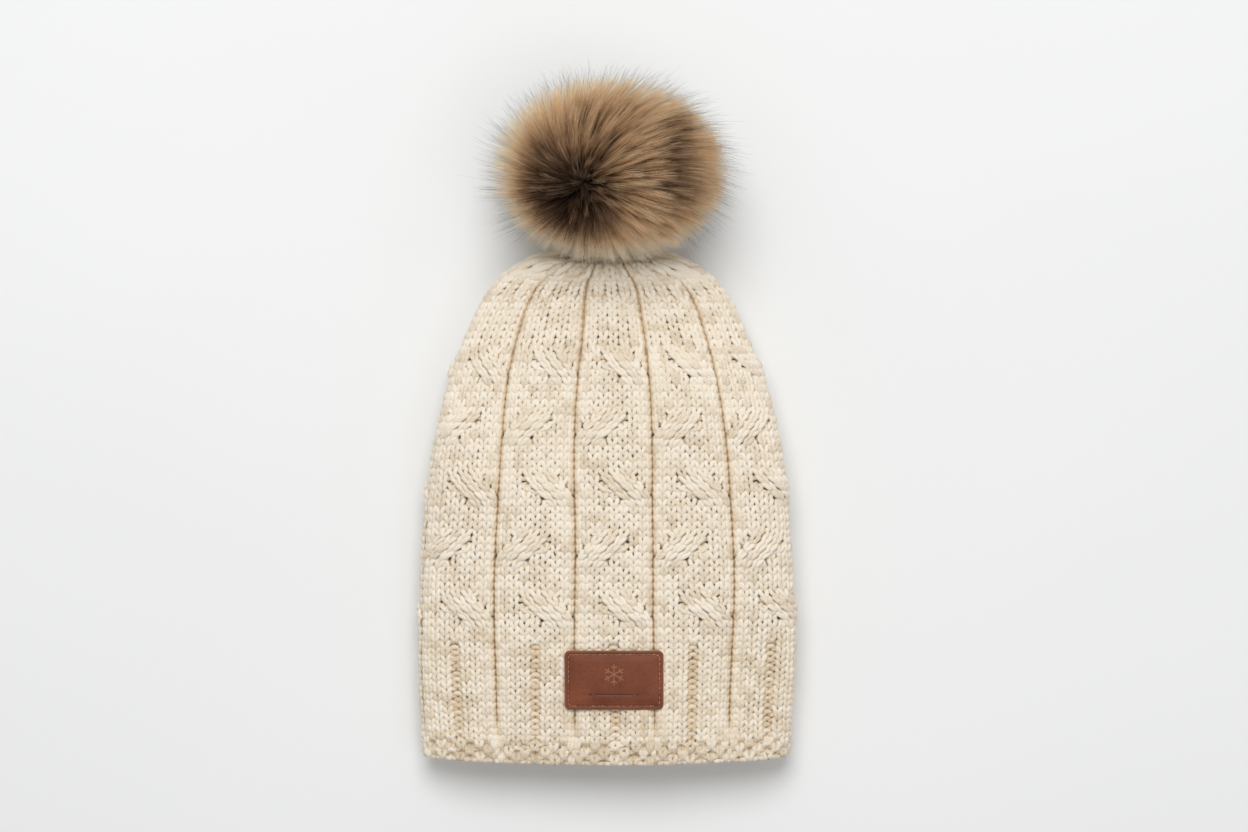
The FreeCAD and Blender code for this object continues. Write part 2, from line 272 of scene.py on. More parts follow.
class HatSurface:
    """The hat's outside moved in by an inset: a point and a normal for a share round and a distance."""

    ROUND = 480
    ALONG = 200

    def __init__(self, inset):
        self.distances = np.linspace(-2.0, STATIONS[-1][0], self.ALONG)
        a, b, middle, lean = smooth_columns(station_rows(), self.distances).T
        past = np.clip(self.distances - (BODY_LENGTH - 1), 0, None)
        turning = TURN_DROP * smoothstep((self.distances - TURN_START) / TURN_LENGTH)
        end_wall = past + YARN_INSET + WALL_DROP * np.exp(-past / 3.0)
        drop = np.where(past > 0, end_wall, turning)
        inset = np.minimum(inset, 0.42 * b)
        fine = np.linspace(0, TAU, 1441)
        lean = np.radians(lean)
        soft_a = a + SIDE_SOFT * (a > 40) - inset
        self.points = np.zeros((self.ALONG, self.ROUND, 3))
        self.length = np.zeros(self.ALONG)
        for k in range(self.ALONG):
            up = np.cos(fine)
            power = np.where(up > 0, FRONT_POWER, BACK_POWER)
            x = soft_a[k] * np.sign(np.sin(fine)) * np.abs(np.sin(fine)) ** (2 / FRONT_POWER)
            rise = (b[k] - inset[k]) * np.sign(up) * np.abs(up) ** (2 / power)
            y = OPENING_Y + self.distances[k] - drop[k] * math.cos(lean[k]) - rise * math.sin(lean[k])
            z = middle[k] - drop[k] * math.sin(lean[k]) + rise * math.cos(lean[k])
            outline = np.stack([x, y, z], axis=1)
            walked = np.concatenate([[0], np.cumsum(np.linalg.norm(np.diff(outline, axis=0), axis=1))])
            even = np.arange(self.ROUND) / self.ROUND * walked[-1]
            self.length[k] = walked[-1]
            self.points[k] = np.stack([np.interp(even, walked, outline[:, c]) for c in range(3)], axis=1)
        self.soften()
        across = np.roll(self.points, -1, axis=1) - np.roll(self.points, 1, axis=1)
        self.normals = unit(np.cross(across, np.gradient(self.points, axis=0)))

    def soften(self):
        """Slow waves of a soft fabric, and the bowed line of the opening."""
        s = np.arange(self.ROUND)[None, :] / self.ROUND
        d = self.distances[:, None]
        wave = (0.7 * np.sin(TAU * 3 * s + d / 31) + 0.6 * np.sin(TAU * 5 * s - d / 23 + 1.3)
                + 0.5 * np.sin(d / 17 + TAU * 2 * s + 0.4))
        fade = smoothstep((BODY_LENGTH - 10 - d) / 40)
        self.points[:, :, 2] += wave * fade * (self.points[:, :, 2] > 12)
        self.points[:, :, 0] += 0.6 * wave * fade
        bow = 3.4 * (self.points[:, :, 0] / 102) ** 2 - 0.6
        self.points[:, :, 1] += bow * np.exp(-np.clip(d, 0, None) / 30)

    def at(self, share, distance):
        """Points and normals, bilinear in the grid, periodic round the hat."""
        fs = (share % 1.0) * self.ROUND
        fd = np.clip((distance - self.distances[0]) / (self.distances[1] - self.distances[0]),
                     0, self.ALONG - 1.001)
        i = np.floor(fs).astype(int)
        k = np.floor(fd).astype(int)
        u = (fs - i)[..., None]
        v = (fd - k)[..., None]
        i = i % self.ROUND
        j = (i + 1) % self.ROUND

        def blend(grid):
            low = grid[k, i] * (1 - u) + grid[k, j] * u
            high = grid[k + 1, i] * (1 - u) + grid[k + 1, j] * u
            return low * (1 - v) + high * v

        return blend(self.points), unit(blend(self.normals))


KNIT_SURFACE = HatSurface(YARN_INSET)

# ---------------------------------------------------------------- cable knit

REPEATS = 10               # cable panels round the hat
HALF_PANEL = 5             # stitches from the middle of a panel to the middle of a gutter
PANEL_SHIFT = 4.4 / 465    # the middle panel sits this share of the way round from the middle
YARN_RADIUS = 1.36
LOOP_WAIST = 0.225         # how far a loop's legs lean, in stitches
LOOP_REACH = 0.80          # half height of a loop, in rows
LOOP_DEPTH = 1.3           # half depth of a loop
LOOP_POINTS = 14
TUBE_SIDES = 7
EDGE_ROWS = 3
RIB_ROWS = 15
BODY_ROWS = 55
RIB_PITCH = 3.75
ROW_PITCH = 4.26
FIRST_CROSSING = 19
ROWS_BETWEEN_CROSSINGS = 8
CROSSINGS = 5
OVER_HALF = 2.8            # half of the rows that the upper strand takes to change place
OVER_LEAD = 0.3            # rows by which its leading wale goes before its middle one
UNDER_HALF = 0.9
UNDER_LEAD = 1.2
CROSSING_ROWS = 6.4        # rows along which a crossing stands out
OVER_LIFT = 1.5
MIDDLE_LIFT = 0.5          # how much further the upper strand's middle wale stands out
UNDER_SINK = 1.9
COVERED_HALF = 1.9         # half width, in stitches, of what the upper strand covers
DECREASES = [(222, 5.0), (254, 4.0), (275, 2.4), (285, 1.5)]     # distance of each, and its rows
CROWDING = 0.28            # how much the stitches crowd together towards the gutters
CROWDING_POWER = 4.3
TUCK_SINK = 2.2            # how far a wale that a decrease takes in sinks
EDGE_GAP = 0.45            # a wale stays this many stitches away from the gutter's middle
GUTTER_DEPTH = 5.6
GUTTER_AT_EDGE = 0.4       # depth of the gutters at the opening
GUTTER_POWER = 7.5
RIB_PURL_DEPTH = 1.9
CROWN_YARN = 0.30          # how much thicker the yarn is where it bunches up at the crown
RECESS_SHADE_TOP = 0.9           # yarn above this height gets no painted shade
RECESS_SHADE_RANGE = 4.8
SLOTS = np.array([-3.0, 0.0, 3.0])
FILLED_SHARE = 0.8         # the outermost wale's place in its panel, also after the decreases
CREASE_HALF = 0.40         # half width of the painted shade line along a gutter
CREASE_SOFT = 0.8
CREASE_SHADE = 0.97
EDGE_SHADE = 0.30         # how much darker in tone the linked edge and the ribbing are; on the edge this is painted shade where it turns away from the light
RIB_DARKER = 0.12


def row_distance(row):
    """Distance from the opening of a place counted in rows above the edge."""
    rib_end = EDGE_WIDTH + RIB_ROWS * RIB_PITCH
    below = EDGE_WIDTH + row * RIB_PITCH
    above = rib_end + (row - RIB_ROWS) * ROW_PITCH
    return np.where(row < RIB_ROWS, below, above)


def half_panel(row):
    """Half a panel's width in stitches: the crown's decreases narrow it."""
    d = row_distance(row)
    return HALF_PANEL - sum(smoothstep((d - start) / (rows * ROW_PITCH)) for start, rows in DECREASES)


def plait_orders():
    """Which strand is in each slot between crossings, and each crossing's (over, under) strands."""
    order = [0, 1, 2]
    orders = [list(order)]
    crossings = []
    for n in range(CROSSINGS):
        left = 1 if n % 2 == 0 else 0
        over, under = (order[2], order[1]) if left else (order[0], order[1])
        crossings.append((over, under))
        order[left], order[left + 1] = order[left + 1], order[left]
        orders.append(list(order))
    return orders, crossings


PLAIT_ORDERS, PLAIT_CROSSINGS = plait_orders()


def strand_place(strand, offset, row):
    """Sideways place of a wale, in stitches, and how far it stands out or sinks.

    The upper strand crosses in one broad slant. The lower one fans: its leading wale is across before
    the upper strand has left, and its trailing wale stays until the upper strand is there.
    """
    place = np.choose(strand, [np.full(row.shape, v) for v in SLOTS]) + offset
    level = np.zeros(row.shape)
    for n, (over, under) in enumerate(PLAIT_CROSSINGS):
        away = row - (FIRST_CROSSING + n * ROWS_BETWEEN_CROSSINGS)
        bump = np.cos(np.clip(away / CROSSING_ROWS, -0.5, 0.5) * math.pi) ** 2

        def move(one, half, lead, wale):
            start = SLOTS[PLAIT_ORDERS[n].index(one)]
            end = SLOTS[PLAIT_ORDERS[n + 1].index(one)]
            late = -lead * wale * np.sign(end - start)
            return (end - start) * smoothstep((away - late + half) / (2 * half)), start

        over_move, over_start = move(over, OVER_HALF, OVER_LEAD, offset)
        under_move, under_start = move(under, UNDER_HALF, UNDER_LEAD, offset)
        over_middle = over_start + move(over, OVER_HALF, OVER_LEAD, 0)[0]
        under_place = under_start + offset + under_move
        covered = np.exp(-(np.abs(under_place - over_middle) / COVERED_HALF) ** 4)
        place = place + np.where(strand == over, over_move, 0) + np.where(strand == under, under_move, 0)
        level = level + np.where(strand == over, (OVER_LIFT + MIDDLE_LIFT * (offset == 0)) * bump, 0)
        level = level - np.where(strand == under, UNDER_SINK * bump * covered, 0)
    return place, level


def panel_share(place):
    """Sideways share of half a panel: stitches crowd together towards the gutters."""
    return (1 + CROWDING) * place - CROWDING * np.sign(place) * np.abs(place) ** CROWDING_POWER


def row_order(row):
    """(strand, place in the strand) of every stitch of a panel in needle order; strand 3 is the gutter."""
    passed = sum(row >= FIRST_CROSSING + n * ROWS_BETWEEN_CROSSINGS for n in range(CROSSINGS))
    width = HALF_PANEL if row < 0 else int(round(float(half_panel(np.array(row + 0.5)))))
    stitches = []
    for slot, strand in enumerate(PLAIT_ORDERS[passed]):
        for offset in (-1, 0, 1):
            if abs(SLOTS[slot] + offset) < width:
                stitches.append((strand, offset))
    return stitches + [(3, 0)]


def knit_row(row, reach=LOOP_REACH, depth=LOOP_DEPTH, edge=False, wobble=1.0):
    """One course of loops round the hat: what sweep_course takes, one row of values for each stitch."""
    stitches = row_order(row)
    count = len(stitches)
    total = count * REPEATS
    strand = np.tile([s for s, _ in stitches], REPEATS)[:, None]
    offset = np.tile([o for _, o in stitches], REPEATS)[:, None]
    repeat = np.repeat(np.arange(REPEATS), count)[:, None]
    t = (np.arange(LOOP_POINTS) / LOOP_POINTS * TAU - math.pi)[None, :]
    jitter = random.normal(0, 1, (total, 4))
    rows = row + reach * np.cos(t) * (1 + 0.04 * jitter[:, :1]) + 0.05 * wobble * jitter[:, 1:2]
    rows = np.broadcast_to(rows, (total, LOOP_POINTS)).copy()
    half = half_panel(rows)

    place, lift = strand_place(np.minimum(strand, 2), offset, rows)
    gutter = strand == 3
    tucked = smoothstep((np.abs(place) - half + 1.2) / 0.8) * smoothstep((4.9 - half) / 0.3)
    lift = lift - TUCK_SINK * tucked
    outermost = max(1, (count - 2) / 2)
    spread = np.maximum(1, FILLED_SHARE * half / outermost)
    inside = np.clip(place * spread, EDGE_GAP - half, half - EDGE_GAP)
    own = np.where(gutter, half, inside) + 2 * half * repeat
    lift = np.where(gutter, 0, lift)

    purl = gutter | ((strand == 1) & (offset == 0) & (row < RIB_ROWS))
    if edge:
        purl = ((np.arange(total)[:, None] + round(row)) % 2 == 0)
    face = np.where(purl, -1.0, 1.0) * np.ones_like(rows)

    def towards(values, wrap=0.0):
        """Half the step to the stitch before or after, blended in along the sinker loop."""
        after = np.roll(values, -1, axis=0)
        before = np.roll(values, 1, axis=0)
        after[-1] += wrap[-1] if np.ndim(wrap) else wrap
        before[0] -= wrap[0] if np.ndim(wrap) else wrap
        share = smoothstep((np.abs(t) - math.pi / 2) / (math.pi / 2))
        return np.where(t > 0, after - values, before - values) / 2, share

    around = 2 * half * REPEATS
    step, share = towards(own, around)
    sideways = t / TAU + LOOP_WAIST * np.sin(2 * t) + share * (step - np.sign(t) * 0.5)
    sideways = np.where(t <= -math.pi + 1e-9, step, sideways)
    absolute = own + sideways + 0.03 * wobble * jitter[:, 2:3]
    lift_step, share = towards(lift)
    lift = lift + lift_step * share
    face_step, share = towards(face)
    face = face + face_step * share

    panel = np.floor((absolute + half) / (2 * half))
    local = (absolute - panel * 2 * half) / half
    share_round = (panel + 0.5 * panel_share(local)) / REPEATS + PANEL_SHIFT
    distance = row_distance(rows)
    depth_here = GUTTER_DEPTH * smoothstep((rows + 1.5) / 4) + GUTTER_AT_EDGE
    relief = -depth_here * np.abs(local) ** GUTTER_POWER * smoothstep((BODY_LENGTH + 8 - distance) / 30)
    rib_zone = smoothstep((RIB_ROWS + 0.5 - rows) / 2) * smoothstep((rows + 1.0) / 3)
    relief = relief - RIB_PURL_DEPTH * np.exp(-((local * half) / 0.6) ** 2) * rib_zone
    point, normal = KNIT_SURFACE.at(share_round, distance)
    height = relief + lift - face * depth * np.cos(2 * t) + 0.12 * wobble * jitter[:, 3:4]
    path = point + normal * height[..., None]
    radius = YARN_RADIUS * (1 + 0.05 * jitter[:, 3:4]) * np.ones_like(rows)
    radius = radius * (1 + CROWN_YARN * smoothstep((distance - BODY_LENGTH + 20) / 14))
    floor = radius * 0.9 + 0.2
    low = path[..., 2] < floor + 1
    path[..., 2] = np.where(low, floor + np.exp(np.minimum(path[..., 2] - floor - 1, 0)), path[..., 2])
    tone = np.repeat(random.random((total, 1)), LOOP_POINTS, axis=1)
    # painted shade on the linked edge, which turns away from the light; the ribbing is painted a little
    # darker too
    darker = EDGE_SHADE if edge else RIB_DARKER * (row < RIB_ROWS)
    tone = tone * 0.8 + 0.1 * np.sin(0.7 * absolute + row) + 0.1 - darker
    # painted shade: the further the yarn lies below the knit's outside, the darker it is painted
    recess = np.clip((RECESS_SHADE_TOP - height) / RECESS_SHADE_RANGE, 0, 1)
    panel_half = np.interp(distance, KNIT_SURFACE.distances, KNIT_SURFACE.length) / (2 * REPEATS)
    to_gutter = (1 - np.abs(panel_share(local))) * panel_half + 3 * smoothstep((3 - rows) / 3)
    across = unit(np.cross(UP_THE_HAT, normal)) * np.sign(local)[..., None]
    return path, radius, normal, tone, recess, to_gutter, across


def sweep_course(path, radius, guide, tone, recess, to_gutter, across, sides=TUBE_SIDES):
    """Closed tube along one course, with its tone and its painted shade for how deep it lies, darkest along
    the gutters.
    """
    line = path.reshape(1, -1, 3)
    rings = tube_rings(line, radius.reshape(1, -1), guide.reshape(1, -1, 3), sides, True)
    faces = tube_faces(1, line.shape[1], sides, True)
    towards_gutter = np.sum((rings[0] - line[0][:, None]) * across.reshape(-1, 1, 3), axis=2)
    from_gutter = to_gutter.reshape(-1, 1) - towards_gutter
    # painted shade: a dark line is painted along the middle of each gutter
    crease = CREASE_SHADE * smoothstep((CREASE_HALF + CREASE_SOFT - from_gutter) / CREASE_SOFT)
    recess = np.maximum(recess.reshape(-1, 1), crease)
    return rings.reshape(-1, 3), faces, np.repeat(tone.ravel(), sides), recess.ravel()


def knit_piece(name, node, courses):
    """One object from several courses."""
    verts, faces, tones, recesses, start = [], [], [], [], 0
    for course in courses:
        v, f, tone, recess = sweep_course(*course)
        verts.append(v)
        faces.append(f + start)
        tones.append(tone)
        recesses.append(recess)
        start += len(v)
    obj = add_mesh(name, np.concatenate(verts), np.concatenate(faces), KNIT_YARN,
                   tone=np.concatenate(tones), recess=np.concatenate(recesses))
    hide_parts(node)
    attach(obj, "hat")
    return obj


ROWS_PER_PIECE = 9


def build_knit():
    edge = [knit_row(r, reach=0.84, depth=1.5, edge=True, wobble=3.2) for r in range(-EDGE_ROWS, 0)]
    knit_piece("linked_edge", "brim_edge", edge)
    rows = [knit_row(r) for r in range(RIB_ROWS + BODY_ROWS)]
    for k in range(0, len(rows), ROWS_PER_PIECE):
        knit_piece("cable_knit_%d" % (k // ROWS_PER_PIECE), "knit_shell", rows[k:k + ROWS_PER_PIECE])


build_knit()

# ---------------------------------------------------------------- helpers for the sewn pieces

def finish_piece(obj, body, node):
    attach(obj, body)
    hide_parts(node)
    return obj


def grid_faces(rows, columns, around=True):
    """Quads of a grid of points, closed across its columns or not."""
    i, j = np.meshgrid(np.arange(rows - 1), np.arange(columns if around else columns - 1), indexing="ij")
    k = (j + 1) % columns
    here, above = i * columns, (i + 1) * columns
    return np.stack([here + j, above + j, above + k, here + k], axis=-1).reshape(-1, 4)


def grid_rim(rows, columns):
    """The points round the outside of a grid, in order."""
    last = (rows - 1) * columns
    return np.concatenate([
        np.arange(columns), np.arange(1, rows) * columns + columns - 1,
        last + np.arange(columns - 2, -1, -1), np.arange(rows - 2, 0, -1) * columns])


def smooth_random(shape, passes):
    """Random heights from -1 to 1, blurred across a grid whose columns close on themselves."""
    field = random.normal(0, 1, shape)
    for _ in range(passes):
        field = (2 * field + np.roll(field, 1, axis=1) + np.roll(field, -1, axis=1)) / 4
        inner = np.pad(field, ((1, 1), (0, 0)), mode="edge")
        field = (2 * inner[1:-1] + inner[:-2] + inner[2:]) / 4
    return np.clip(field / (2.2 * field.std()), -1, 1)


ACROSS = np.array([1.0, 0.0, 0.0])
UPWARD = np.cross(ACROSS, AXIS)


def on_axis(x, y, height):
    """Points given across the snap's axis and along it, from the crown's end wall."""
    x, y, height = np.broadcast_arrays(x, y, height)
    return CROWN + x[..., None] * ACROSS + y[..., None] * UPWARD + height[..., None] * AXIS


def lathe(name, body, node, profile, material, segments=96, rough=0.0):
    """Solid of revolution about the snap's axis, a little uneven where it is felt."""
    profile = np.array(profile, float)
    angle = np.arange(segments) * TAU / segments
    uneven = 1 + rough * smooth_random((len(profile), segments), 1)
    radius = profile[:, :1] * uneven
    height = profile[:, 1:] + 1.5 * rough * smooth_random((len(profile), segments), 1)
    verts = on_axis(radius * np.cos(angle), radius * np.sin(angle), height)
    return finish_piece(add_mesh(name, verts, grid_faces(len(profile), segments), material), body, node)


def twist(path, guide, radius, turns, plies=2, closed=True):
    """Paths of the plies of a thread laid round one path."""
    count = len(path)
    if closed:
        along = unit(np.roll(path, -1, axis=0) - np.roll(path, 1, axis=0))
    else:
        along = unit(np.gradient(path, axis=0))
    side = unit(np.cross(along, guide))
    up = np.cross(side, along)
    phase = np.arange(count) / (count if closed else count - 1) * turns * TAU
    result = []
    for k in range(plies):
        angle = (phase + k * TAU / plies)[:, None]
        result.append(path + radius * (np.cos(angle) * side + np.sin(angle) * up))
    return np.array(result)


def closed_tubes(paths, radius, guide, sides, closed):
    """Verts and faces of several tubes, with flat ends on the open ones."""
    paths = np.asarray(paths, float)
    count, points = paths.shape[:2]
    rings = tube_rings(paths, np.broadcast_to(radius, paths.shape[:2]), np.broadcast_to(guide, paths.shape),
                       sides, closed)
    faces = [tube_faces(count, points, sides, closed)]
    if not closed:
        for tube in range(count):
            base = tube * points * sides
            for start, turn in ((base, 1), (base + (points - 1) * sides, -1)):
                for k in range(1, sides - 2, 2):
                    corners = [start, start + k, start + k + 1, start + k + 2]
                    faces.append(np.array([corners[::turn]]))
    return rings.reshape(-1, 3), np.concatenate(faces)


def thread_piece(name, body, node, paths, radius, guide, material, sides=6, closed=False):
    verts, faces = closed_tubes(paths, radius, guide, sides, closed)
    tone = np.repeat(random.random(len(paths)), len(verts) // len(paths))
    return finish_piece(add_mesh(name, verts, faces, material, tone=tone), body, node)


def stitches(starts, ends, ups, radius, points=9, turns=1.2):
    """Two-ply stitches that rise from one hole and dive into the next."""
    t = np.linspace(0, 1, points)[None, :, None]
    rise = radius * (4.2 * np.sqrt(np.clip(1 - (2 * t - 1) ** 2, 0, 1)) - 3.0)
    paths = starts[:, None] * (1 - t) + ends[:, None] * t + ups[:, None] * rise
    return np.concatenate([twist(p, up, 0.52 * radius, turns, closed=False) for p, up in zip(paths, ups)])


def thread_material(name, dark, light, roughness=0.6):
    m = Nodes(name, Roughness=roughness, Specular_IOR_Level=0.35, Sheen_Weight=0.3, Sheen_Roughness=0.4)
    fibres = m.math("MULTIPLY", m.noise(1500.0, 2.0), 0.7)
    tone = m.math("ADD", fibres, m.math("MULTIPLY", m.attribute("tone"), 0.3))
    m.link(m.ramp(tone, (0.3, dark), (0.75, light)), "Base Color")
    m.bump(m.noise(2600.0, 2.0), 0.3, 0.0002)
    return m.material


def cloth_material(name, dark, light, scale, bump=0.4, sheen=0.5):
    m = Nodes(name, Roughness=0.95, Specular_IOR_Level=0.1, Sheen_Weight=sheen, Sheen_Roughness=0.5)
    m.link(m.ramp(m.noise(scale, 4.0, 0.65), (0.3, dark), (0.7, light)), "Base Color")
    m.bump(m.noise(scale * 2.3, 3.0, 0.6), bump, 0.0006)
    return m.material


def metal_material(name, colour, roughness):
    m = Nodes(name, Metallic=1.0, Roughness=roughness)
    light = tuple(min(1.0, 1.12 * c) for c in colour)
    m.link(m.ramp(m.noise(340.0, 3.0), (0.3, colour), (0.7, light)), "Base Color")
    m.bump(m.noise(900.0, 2.0), 0.08, 0.0001)
    return m.material


SEWING_THREAD = thread_material("sewing_thread", (0.60, 0.50, 0.36), (0.82, 0.74, 0.60))
BROWN_THREAD = thread_material("brown_thread", (0.035, 0.014, 0.008), (0.22, 0.11, 0.06))
PATCH_THREAD = thread_material("patch_thread", (0.09, 0.030, 0.014), (0.62, 0.36, 0.20))
FELT = cloth_material("wool_felt", (0.60, 0.52, 0.41), (0.74, 0.66, 0.54), 700.0)
BROWN_FELT = cloth_material("brown_felt", (0.05, 0.028, 0.017), (0.10, 0.058, 0.036), 700.0)
BRASS = metal_material("aged_brass", (0.46, 0.33, 0.16), 0.34)
STEEL = metal_material("spring_steel", (0.56, 0.56, 0.57), 0.24)

# ---------------------------------------------------------------- fleece lining

LINING_START = corner_mm("fleece_lining", 0)[1] - OPENING_Y
LINING_END = 262.0
LINING_MIDDLE = 7.7        # middle of the lining below the knit's outside
LINING_HALF = 1.1
LINING_ROUND = 300
LINING_ROWS = 118
LINING_FOLD = 3.2          # how deep the lining folds in under a gutter
FLEECE_CURLS = 9000
HEM_STITCHES = 118
HEM_STITCH_OUT = -1.45     # the hem's thread below the lining's middle
LINING_SURFACE = HatSurface(LINING_MIDDLE)


def lining_point(share, distance, out):
    """A place on the lining, folded in under the gutters of the knit; out is above its middle."""
    point, normal = LINING_SURFACE.at(share, distance)
    local = 2 * (((share - PANEL_SHIFT) * REPEATS + 0.5) % 1.0) - 1
    fold = LINING_FOLD * np.abs(local) ** 5
    fold = fold * smoothstep((distance - 26) / 20) * smoothstep((LINING_END - distance) / 20)
    return point + normal * (out - fold)[..., None], normal


def build_lining():
    fleece = cloth_material("fleece", (0.66, 0.58, 0.46), (0.84, 0.77, 0.66), 420.0, bump=0.8, sheen=0.8)
    along = np.linspace(LINING_END, LINING_START, LINING_ROWS)
    edge = np.linspace(0, math.pi, 5)[1:-1]
    distance = np.concatenate([along, LINING_START - LINING_HALF * np.sin(edge), along[::-1]])
    face = np.full(LINING_ROWS, LINING_HALF)
    out = np.concatenate([face, LINING_HALF * np.cos(edge), -face])
    share = np.arange(LINING_ROUND)[None, :] / LINING_ROUND + np.zeros((len(out), 1))
    nap = 0.42 * smooth_random(share.shape, 1) + 0.5 * smooth_random(share.shape, 6)
    level = out[:, None] + nap * np.where(out[:, None] < 0.5, 1.0, 0.15)
    points, _ = lining_point(share, np.broadcast_to(distance[:, None], share.shape), level)
    caps = []
    for ring, bulge in ((points[0], 5.0), (points[-1], 3.0)):
        middle = ring.mean(axis=0)
        shrink = np.linspace(1, 0.02, 14)[1:, None, None]
        cap = middle + (ring - middle) * shrink
        caps.append(cap + AXIS * bulge * (1 - shrink ** 2))
    points = np.concatenate([caps[0][::-1], points, caps[1]])
    faces = grid_faces(len(points), LINING_ROUND)
    last = len(points) * LINING_ROUND
    middles = np.array([points[0].mean(axis=0), points[-1].mean(axis=0)])
    j = np.arange(0, LINING_ROUND, 2)
    after = (j + 2) % LINING_ROUND
    base = (len(points) - 1) * LINING_ROUND
    start_cap = np.stack([np.full(len(j), last), j, j + 1, after], axis=1)
    end_cap = np.stack([np.full(len(j), last + 1), base + after, base + j + 1, base + j], axis=1)
    verts = np.concatenate([points.reshape(-1, 3), middles])
    obj = add_mesh("fleece_lining", verts, np.concatenate([faces, start_cap, end_cap]), fleece)
    finish_piece(obj, "hat", "fleece_lining")
    build_fleece_curls(fleece)


def build_fleece_curls(fleece):
    """Short curls of pile on the lining's inside, thickest at the opening."""
    count = FLEECE_CURLS
    share = random.random(count)
    distance = LINING_START + 0.5 + 150 * random.random(count) ** 1.6
    root, normal = lining_point(share, distance, np.full(count, -LINING_HALF))
    t = np.linspace(0, 1, 4)[None, :, None]
    lean = random.normal(0, 1, (count, 1, 3))
    curl = random.normal(0, 1, (count, 1, 3))
    path = root[:, None] - normal[:, None] * t * 1.3 + lean * t * 0.8 + curl * np.sin(t * 3.0) * 0.5
    path[..., 2] = np.maximum(path[..., 2], 4.0)
    verts, faces = closed_tubes(path, 0.09 * (1 - 0.6 * t[..., 0]), normal[:, None], 4, False)
    finish_piece(add_mesh("fleece_curls", verts, faces, fleece), "hat", "fleece_lining")


def build_lining_stitches():
    low = corner_mm("lining_hem_thread", 0)[1] - OPENING_Y
    high = corner_mm("lining_hem_thread", 1)[1] - OPENING_Y
    middle = (low + high) / 2
    number = np.arange(HEM_STITCHES)
    distance = np.full(HEM_STITCHES, middle)
    out = np.full(HEM_STITCHES, HEM_STITCH_OUT)
    start, normal = lining_point((number + 0.15) / HEM_STITCHES, distance, out)
    end, _ = lining_point((number + 0.85) / HEM_STITCHES, distance, out)
    sides = -np.repeat(normal, 2, axis=0)[:, None]
    thread_piece("lining_hem_thread", "hat", "lining_hem_thread",
                 stitches(start, end, -normal, 0.34), 0.24, sides, SEWING_THREAD)


SEAM_POINTS = 420
SEAM_HALF = 1.1
SEAM_DIP = 0.12
GATHER_POINTS = 260
GATHER_RADIUS = 8.4
GATHER_WAVES = 10


def build_back_seam():
    """One thread that goes to and fro across the joined edges."""
    low, high = corner_mm("back_seam_thread", 0), corner_mm("back_seam_thread", 1)
    number = np.arange(SEAM_POINTS)
    side = np.where(number % 4 < 2, -1, 1)
    under = np.where(number % 2, 1, -1)
    middle = (low + high) / 2
    path = np.stack([middle[0] + SEAM_HALF * side, np.linspace(low[1], high[1], SEAM_POINTS),
                     middle[2] + SEAM_DIP * under], axis=1)
    thread_piece("back_seam_thread", "hat", "back_seam_thread",
                 path[None], 0.28, np.array([0, 0, 1.0]), SEWING_THREAD)


def build_crown_gather():
    """The yarn that draws the last stitches together, wavy where it goes through them."""
    angle = np.arange(GATHER_POINTS) / GATHER_POINTS * TAU
    radius = GATHER_RADIUS + 0.5 * np.sin(GATHER_WAVES * angle)
    height = 0.9 + 0.35 * np.cos(GATHER_WAVES * angle)
    path = on_axis(radius * np.cos(angle), radius * np.sin(angle), height)
    thread_piece("crown_gather_thread", "hat", "crown_gather_thread",
                 twist(path, AXIS, 0.42, 16), 0.5, AXIS, SEWING_THREAD, sides=8, closed=True)


# ---------------------------------------------------------------- leather patch

PATCH_SIZE = np.array([55.5, 33.5])
PATCH_THICK = 1.6
PATCH_CORNER = 3.0
PATCH_STITCH_INSET = 2.2
PATCH_MIDDLE = (PATCH_LOW + PATCH_HIGH) / 2
PATCH_SLOPE = math.atan2((PATCH_HIGH - PATCH_LOW)[2] - PATCH_THICK, PATCH_SIZE[1])
PATCH_ABOVE = 0.25         # the patch stands this much clear of the knit's solid
PATCH_STITCHES = 58
MARK_MIDDLE = np.array([0.0, 3.6])
FLAKE_ARM = 5.6
FLAKE_KNEE = 3.4           # where the branches leave an arm
FLAKE_BRANCH = 1.9
RULE_HEIGHT = -8.2


def on_patch(x, y, height):
    """Points given across the patch, up it and above its back."""
    x, y, height = np.broadcast_arrays(x, y, height)
    bow = -0.0009 * x ** 2
    level = height - PATCH_THICK / 2 + bow
    sin, cos = math.sin(PATCH_SLOPE), math.cos(PATCH_SLOPE)
    return PATCH_MIDDLE + np.stack([x, y * cos - level * sin, PATCH_ABOVE + y * sin + level * cos], axis=-1)


def line_mark(x, y, start, end, width):
    """How much of a pressed line covers each place, from 0 to 1."""
    start, end = np.array(start, float), np.array(end, float)
    run = end - start
    t = np.clip(((x - start[0]) * run[0] + (y - start[1]) * run[1]) / (run @ run), 0, 1)
    away = np.hypot(x - start[0] - t * run[0], y - start[1] - t * run[1])
    return smoothstep((width / 2 + 0.25 - away) / 0.35)


def pressed_mark(x, y):
    """A plain snowflake above a thin rule with a dot at each end."""
    def clock(angle):
        return np.array([math.sin(angle), math.cos(angle)])

    lines = [((-10, RULE_HEIGHT), (10, RULE_HEIGHT), 0.5)]
    for k in range(6):
        arm = k * TAU / 6
        knee = MARK_MIDDLE + FLAKE_KNEE * clock(arm)
        lines.append((MARK_MIDDLE, MARK_MIDDLE + FLAKE_ARM * clock(arm), 0.7))
        for turn in (-0.9, 0.9):
            lines.append((knee, knee + FLAKE_BRANCH * clock(arm + turn), 0.55))
    for side in (-13.2, 13.2):
        lines.append(((side, RULE_HEIGHT), (side + 0.01, RULE_HEIGHT), 1.0))
    return np.max([line_mark(x, y, *line) for line in lines], axis=0)


PATCH_COLUMNS = 190
PATCH_ROWS = 116


